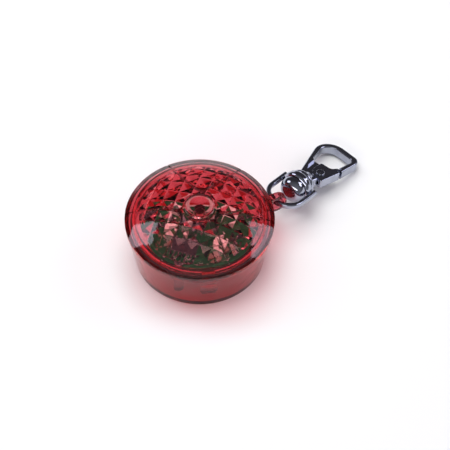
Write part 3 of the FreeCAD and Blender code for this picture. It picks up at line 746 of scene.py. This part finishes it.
def lamp(name, azimuth, elevation, size, watts, tone=WHITE, mirrored=True):
    """A rectangular soft light that faces the case.  An unmirrored one shows in no reflection."""
    data = bpy.data.lights.new(name, "AREA")
    data.shape = "RECTANGLE"
    data.size, data.size_y = size
    data.energy = watts
    data.color = tone
    made = bpy.data.objects.new(name, data)
    bpy.context.scene.collection.objects.link(made)
    made.visible_glossy = mirrored
    made.visible_transmission = mirrored
    made.location = LAMP_AIM + LAMP_REACH * towards(azimuth, elevation)
    made.rotation_euler = (made.location - LAMP_AIM).to_track_quat("Z", "Y").to_euler()


def lights(stage):
    """Soft boxes beyond the case at left and right, one beside the camera, and a fill overhead."""
    power = stage.power
    lamp("left_box", VIEW_AZIMUTH + 70, 38, (0.3, 0.36), 2.6 * power, COOL)
    lamp("right_box", VIEW_AZIMUTH - 76, 34, (0.5, 0.36), 3.4 * power, COOL)
    lamp("front_box", VIEW_AZIMUTH + 160, 30, (0.9, 0.2), 4.0 * power)
    lamp("fill_box", VIEW_AZIMUTH + 30, 74, (0.8, 0.8), 16.0 * power, mirrored=False)


def camera(scene, stage):
    """The camera, whose line of sight passes to the right of and below the rim's centre."""
    ahead = towards(VIEW_AZIMUTH, -VIEW_ELEVATION)
    right = ahead.cross(Vector((0.0, 0.0, 1.0))).normalized()
    up = right.cross(ahead)
    aim = Vector((0.0, 0.0, RIM_LEVEL)) + right * AIM_RIGHT - up * AIM_DOWN
    data = bpy.data.cameras.new("camera")
    data.lens = stage.focal
    data.clip_start = 0.01
    made = bpy.data.objects.new("camera", data)
    scene.collection.objects.link(made)
    made.location = aim - ahead * stage.reach
    made.rotation_euler = ahead.to_track_quat("-Z", "Y").to_euler()
    scene.camera = made
    scene.view_settings.view_transform = "Standard"


# --------------------------------------------------------------- operators

SEAL_BLACK = (0.03, 0.028, 0.03)
CHIP_BLACK = (0.035, 0.033, 0.04)
GLAZE_BLACK = (0.02, 0.02, 0.024)
SWITCH_BLACK = (0.02, 0.02, 0.022)
GASKET_BLACK = (0.05, 0.05, 0.055)
CERAMIC_TAN = (0.2, 0.15, 0.11)
DOT_GREY = (0.5, 0.5, 0.48)
CRADLE_GREY = (0.62, 0.61, 0.57)
LAMP_WHITE = (0.8, 0.79, 0.74)
LEAD_TIN = (0.74, 0.74, 0.73)
SOLDER_TIN = (0.62, 0.62, 0.60)


class FLARE_OT_case(Operator):
    """Finish the translucent lens, cup and push button, and the seal between them"""

    bl_idname = "flare.case"
    bl_label = "Case and lens"

    def execute(self, context):
        case = context.scene.flare_case
        lens = clear_plastic(
            "lens_polycarbonate", case.lens_tint, case, rough=0.025, shine=0.4, creased=True
        )
        cup = clear_plastic("cup_polycarbonate", case.cup_tint, case, rough=0.02, shine=0.05)
        button = clear_plastic("button_polycarbonate", case.button_tint, case, rough=0.06)
        paint("lens_cover", lens)
        paint("base_shell", cup)
        paint("push_button", button)
        paint("lens_seal", rubber("seal_rubber", SEAL_BLACK))
        return {"FINISHED"}


class FLARE_OT_board(Operator):
    """Finish the circuit board, its screws, its chip and its small components"""

    bl_idname = "flare.board"
    bl_label = "Circuit board"

    def execute(self, context):
        steel = tuple(context.scene.flare_metal.steel)
        epoxy = plain_plastic("chip_epoxy", CHIP_BLACK, rough=0.32, grain=0.07 * MM)
        glaze = plain_plastic("resistor_glaze", GLAZE_BLACK, rough=0.3, grain=0.09 * MM)
        ceramic = plain_plastic("capacitor_ceramic", CERAMIC_TAN, rough=0.4, grain=0.09 * MM)
        solder = plated("solder_tin", SOLDER_TIN, rough=0.18, grain=0.3 * MM, depth=0.004 * MM)
        dot = plain_plastic("dot_paint", DOT_GREY, rough=0.6, grain=0.05 * MM)
        paint("circuit_board", epoxy_board("board_epoxy", context.scene.flare_board))
        paint("board_screws", plated("screw_zinc", steel, rough=0.22))
        paint("driver_chip", epoxy)
        paint("chip_leads", plated("lead_tin", LEAD_TIN, rough=0.2))
        paint("chip_resistors", glaze)
        paint("chip_capacitors", ceramic)
        built("solder_pads", solder_pads(), solder)
        built("end_caps", end_caps(), solder)
        built("chip_dot", chip_dot(), dot)
        return {"FINISHED"}


class FLARE_OT_lamps(Operator):
    """Finish the lamps' packages and their resin windows"""

    bl_idname = "flare.lamps"
    bl_label = "Lamps"

    def execute(self, context):
        resin = lamp_resin("led_resin")
        nylon = plain_plastic("led_nylon", LAMP_WHITE, rough=0.4, grain=0.06 * MM)
        paint("led_packages", nylon)
        paint("led_windows", resin)
        built("lamp_dies", lamp_dies(), resin)
        return {"FINISHED"}


class FLARE_OT_switch(Operator):
    """Finish the push button's switch and its plunger"""

    bl_idname = "flare.switch"
    bl_label = "Switch"

    def execute(self, context):
        steel = tuple(context.scene.flare_metal.steel)
        paint("switch_body", brushed("switch_cover", steel))
        paint("switch_plunger", plain_plastic("switch_nylon", SWITCH_BLACK, rough=0.5))
        built("cover_tabs", cover_tabs(), plated("tab_tin", steel, rough=0.2))
        return {"FINISHED"}


class FLARE_OT_cells(Operator):
    """Finish the coin cells, their cradle and their contacts"""

    bl_idname = "flare.cells"
    bl_label = "Cells"

    def execute(self, context):
        nickel = tuple(context.scene.flare_metal.nickel)
        spring = brushed("contact_nickel", shaded(nickel, 0.95), along=(2.0, 0.06, 0.06))
        paint("coin_cells", brushed("cell_can", nickel, along=(4.0, 0.08, 0.4), rough=0.26))
        paint("cell_cradle", plain_plastic("cradle_nylon", CRADLE_GREY, rough=0.5))
        paint("lower_contact", spring)
        paint("upper_contact", spring)
        built("cell_gaskets", cell_gaskets(), rubber("gasket_nylon", GASKET_BLACK))
        return {"FINISHED"}


class FLARE_OT_hook(Operator):
    """Finish the swivel eye, the snap hook, its gate and its small pieces"""

    bl_idname = "flare.hook"
    bl_label = "Snap hook"

    def execute(self, context):
        metal = context.scene.flare_metal
        chrome = plated("hook_chrome", tuple(metal.chrome))
        for node in ("swivel_eye", "swivel_rivet", "hook_body", "gate"):
            paint(node, chrome)
        paint("gate_rivet", plated("pin_chrome", shaded(metal.chrome, 0.92), rough=0.1))
        steel = brushed("spring_strip", tuple(metal.steel))
        strip = built("bent_strip", gate_strip(), steel, body=None)
        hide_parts("gate_spring")
        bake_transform(strip)
        return {"FINISHED"}


class FLARE_OT_stage(Operator):
    """Set the pale floor, the soft lights and the camera"""

    bl_idname = "flare.stage"
    bl_label = "Stage"

    def execute(self, context):
        stage = context.scene.flare_stage
        floor(stage)
        sky(context.scene)
        lights(stage)
        camera(context.scene, stage)
        return {"FINISHED"}


# --------------------------------------------------- panel and registration

STEPS = ("case", "board", "lamps", "switch", "cells", "hook", "stage")
SETTINGS = {
    "flare_case": FlareCase,
    "flare_board": FlareBoard,
    "flare_metal": FlareMetal,
    "flare_stage": FlareStage,
}


class FLARE_PT_panel(Panel):
    """The flare's settings and steps"""

    bl_idname = "FLARE_PT_panel"
    bl_label = "Safety flare"
    bl_space_type = "VIEW_3D"
    bl_region_type = "UI"
    bl_category = "Flare"

    def draw(self, context):
        for name, group in SETTINGS.items():
            box = self.layout.box()
            settings = getattr(context.scene, name)
            for key in group.__annotations__:
                box.prop(settings, key)
        for step in STEPS:
            self.layout.operator("flare." + step)


CLASSES = (
    FlareCase,
    FlareBoard,
    FlareMetal,
    FlareStage,
    FLARE_OT_case,
    FLARE_OT_board,
    FLARE_OT_lamps,
    FLARE_OT_switch,
    FLARE_OT_cells,
    FLARE_OT_hook,
    FLARE_OT_stage,
    FLARE_PT_panel,
)


def register():
    """Add the classes and their settings to Blender."""
    for made in CLASSES:
        bpy.utils.register_class(made)
    for name, group in SETTINGS.items():
        setattr(bpy.types.Scene, name, PointerProperty(type=group))


def unregister():
    """Take the settings and the classes out again."""
    for name in SETTINGS:
        delattr(bpy.types.Scene, name)
    for made in reversed(CLASSES):
        bpy.utils.unregister_class(made)


def main():
    register()
    for step in STEPS:
        getattr(bpy.ops.flare, step)()


if __name__ == "__main__":
    main()
